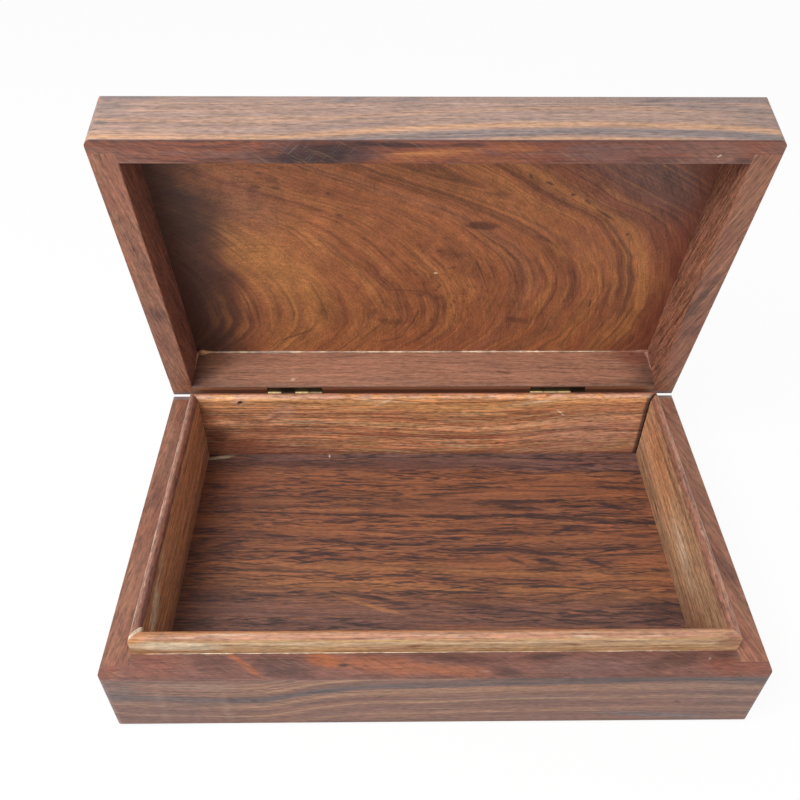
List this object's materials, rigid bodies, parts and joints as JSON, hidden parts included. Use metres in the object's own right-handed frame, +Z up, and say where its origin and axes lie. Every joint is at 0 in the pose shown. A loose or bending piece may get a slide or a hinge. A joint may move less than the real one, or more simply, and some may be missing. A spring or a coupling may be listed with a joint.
{
  "type": "wooden box",
  "caption": "Low rectangular hinged wooden box: lapped walls, a proud inner lip that the lid drops over, brass butt hinges, and a flush brass and bone inlay on the lid.",
  "frame": {"origin": "middle of the base's underside", "axes": "+X to the right along the hinge line, +Y to the hinged back, +Z up"},
  "size_m": [0.25, 0.1814, 0.1917],
  "materials": {
    "wall_wood": "oiled rosewood, streaked",
    "figured_wood": "oiled rosewood, figured",
    "liner_wood": "oiled rosewood, pale",
    "floor_wood": "oiled rosewood, dark",
    "hinge_brass": "polished, slightly dull",
    "inlay_brass": "sanded flush",
    "filler": "hardened wood filler, chalky",
    "inlay_bone": "bone, sanded flush"
  },
  "bodies": {
    "base": {"base_front_wall": "wall_wood", "base_right_wall": "wall_wood", "base_back_wall": "wall_wood", "base_left_wall": "wall_wood", "base_bottom_board": "floor_wood", "liner_front": "liner_wood", "liner_right": "liner_wood", "liner_back": "liner_wood", "liner_left": "liner_wood", "liner_corner_shim": "filler", "left_hinge_base_leaf": "hinge_brass", "right_hinge_base_leaf": "hinge_brass", "left_hinge_pin": "hinge_brass", "right_hinge_pin": "hinge_brass", "base_hinge_screws": "hinge_brass"},
    "lid": {"lid_front_wall": "wall_wood", "lid_right_wall": "wall_wood", "lid_back_wall": "wall_wood", "lid_left_wall": "wall_wood", "lid_top_board": "figured_wood", "inlay_border_front": "inlay_brass", "inlay_border_right": "inlay_brass", "inlay_border_back": "inlay_brass", "inlay_border_left": "inlay_brass", "inlay_star": "inlay_brass", "inlay_star_eye": "inlay_bone", "inlay_lozenge_front_left": "inlay_bone", "inlay_lozenge_front_right": "inlay_bone", "inlay_lozenge_back_left": "inlay_bone", "inlay_lozenge_back_right": "inlay_bone", "left_hinge_lid_leaf": "hinge_brass", "right_hinge_lid_leaf": "hinge_brass", "lid_hinge_screws": "hinge_brass"}
  },
  "joints": [
    {"name": "lid_hinge", "type": "hinge", "parent": "base", "child": "lid", "pos_m": [0, 0.0758, 0.0352], "axis": [-1, 0, 0], "range_deg": [-77.6, 22.4]}
  ]
}
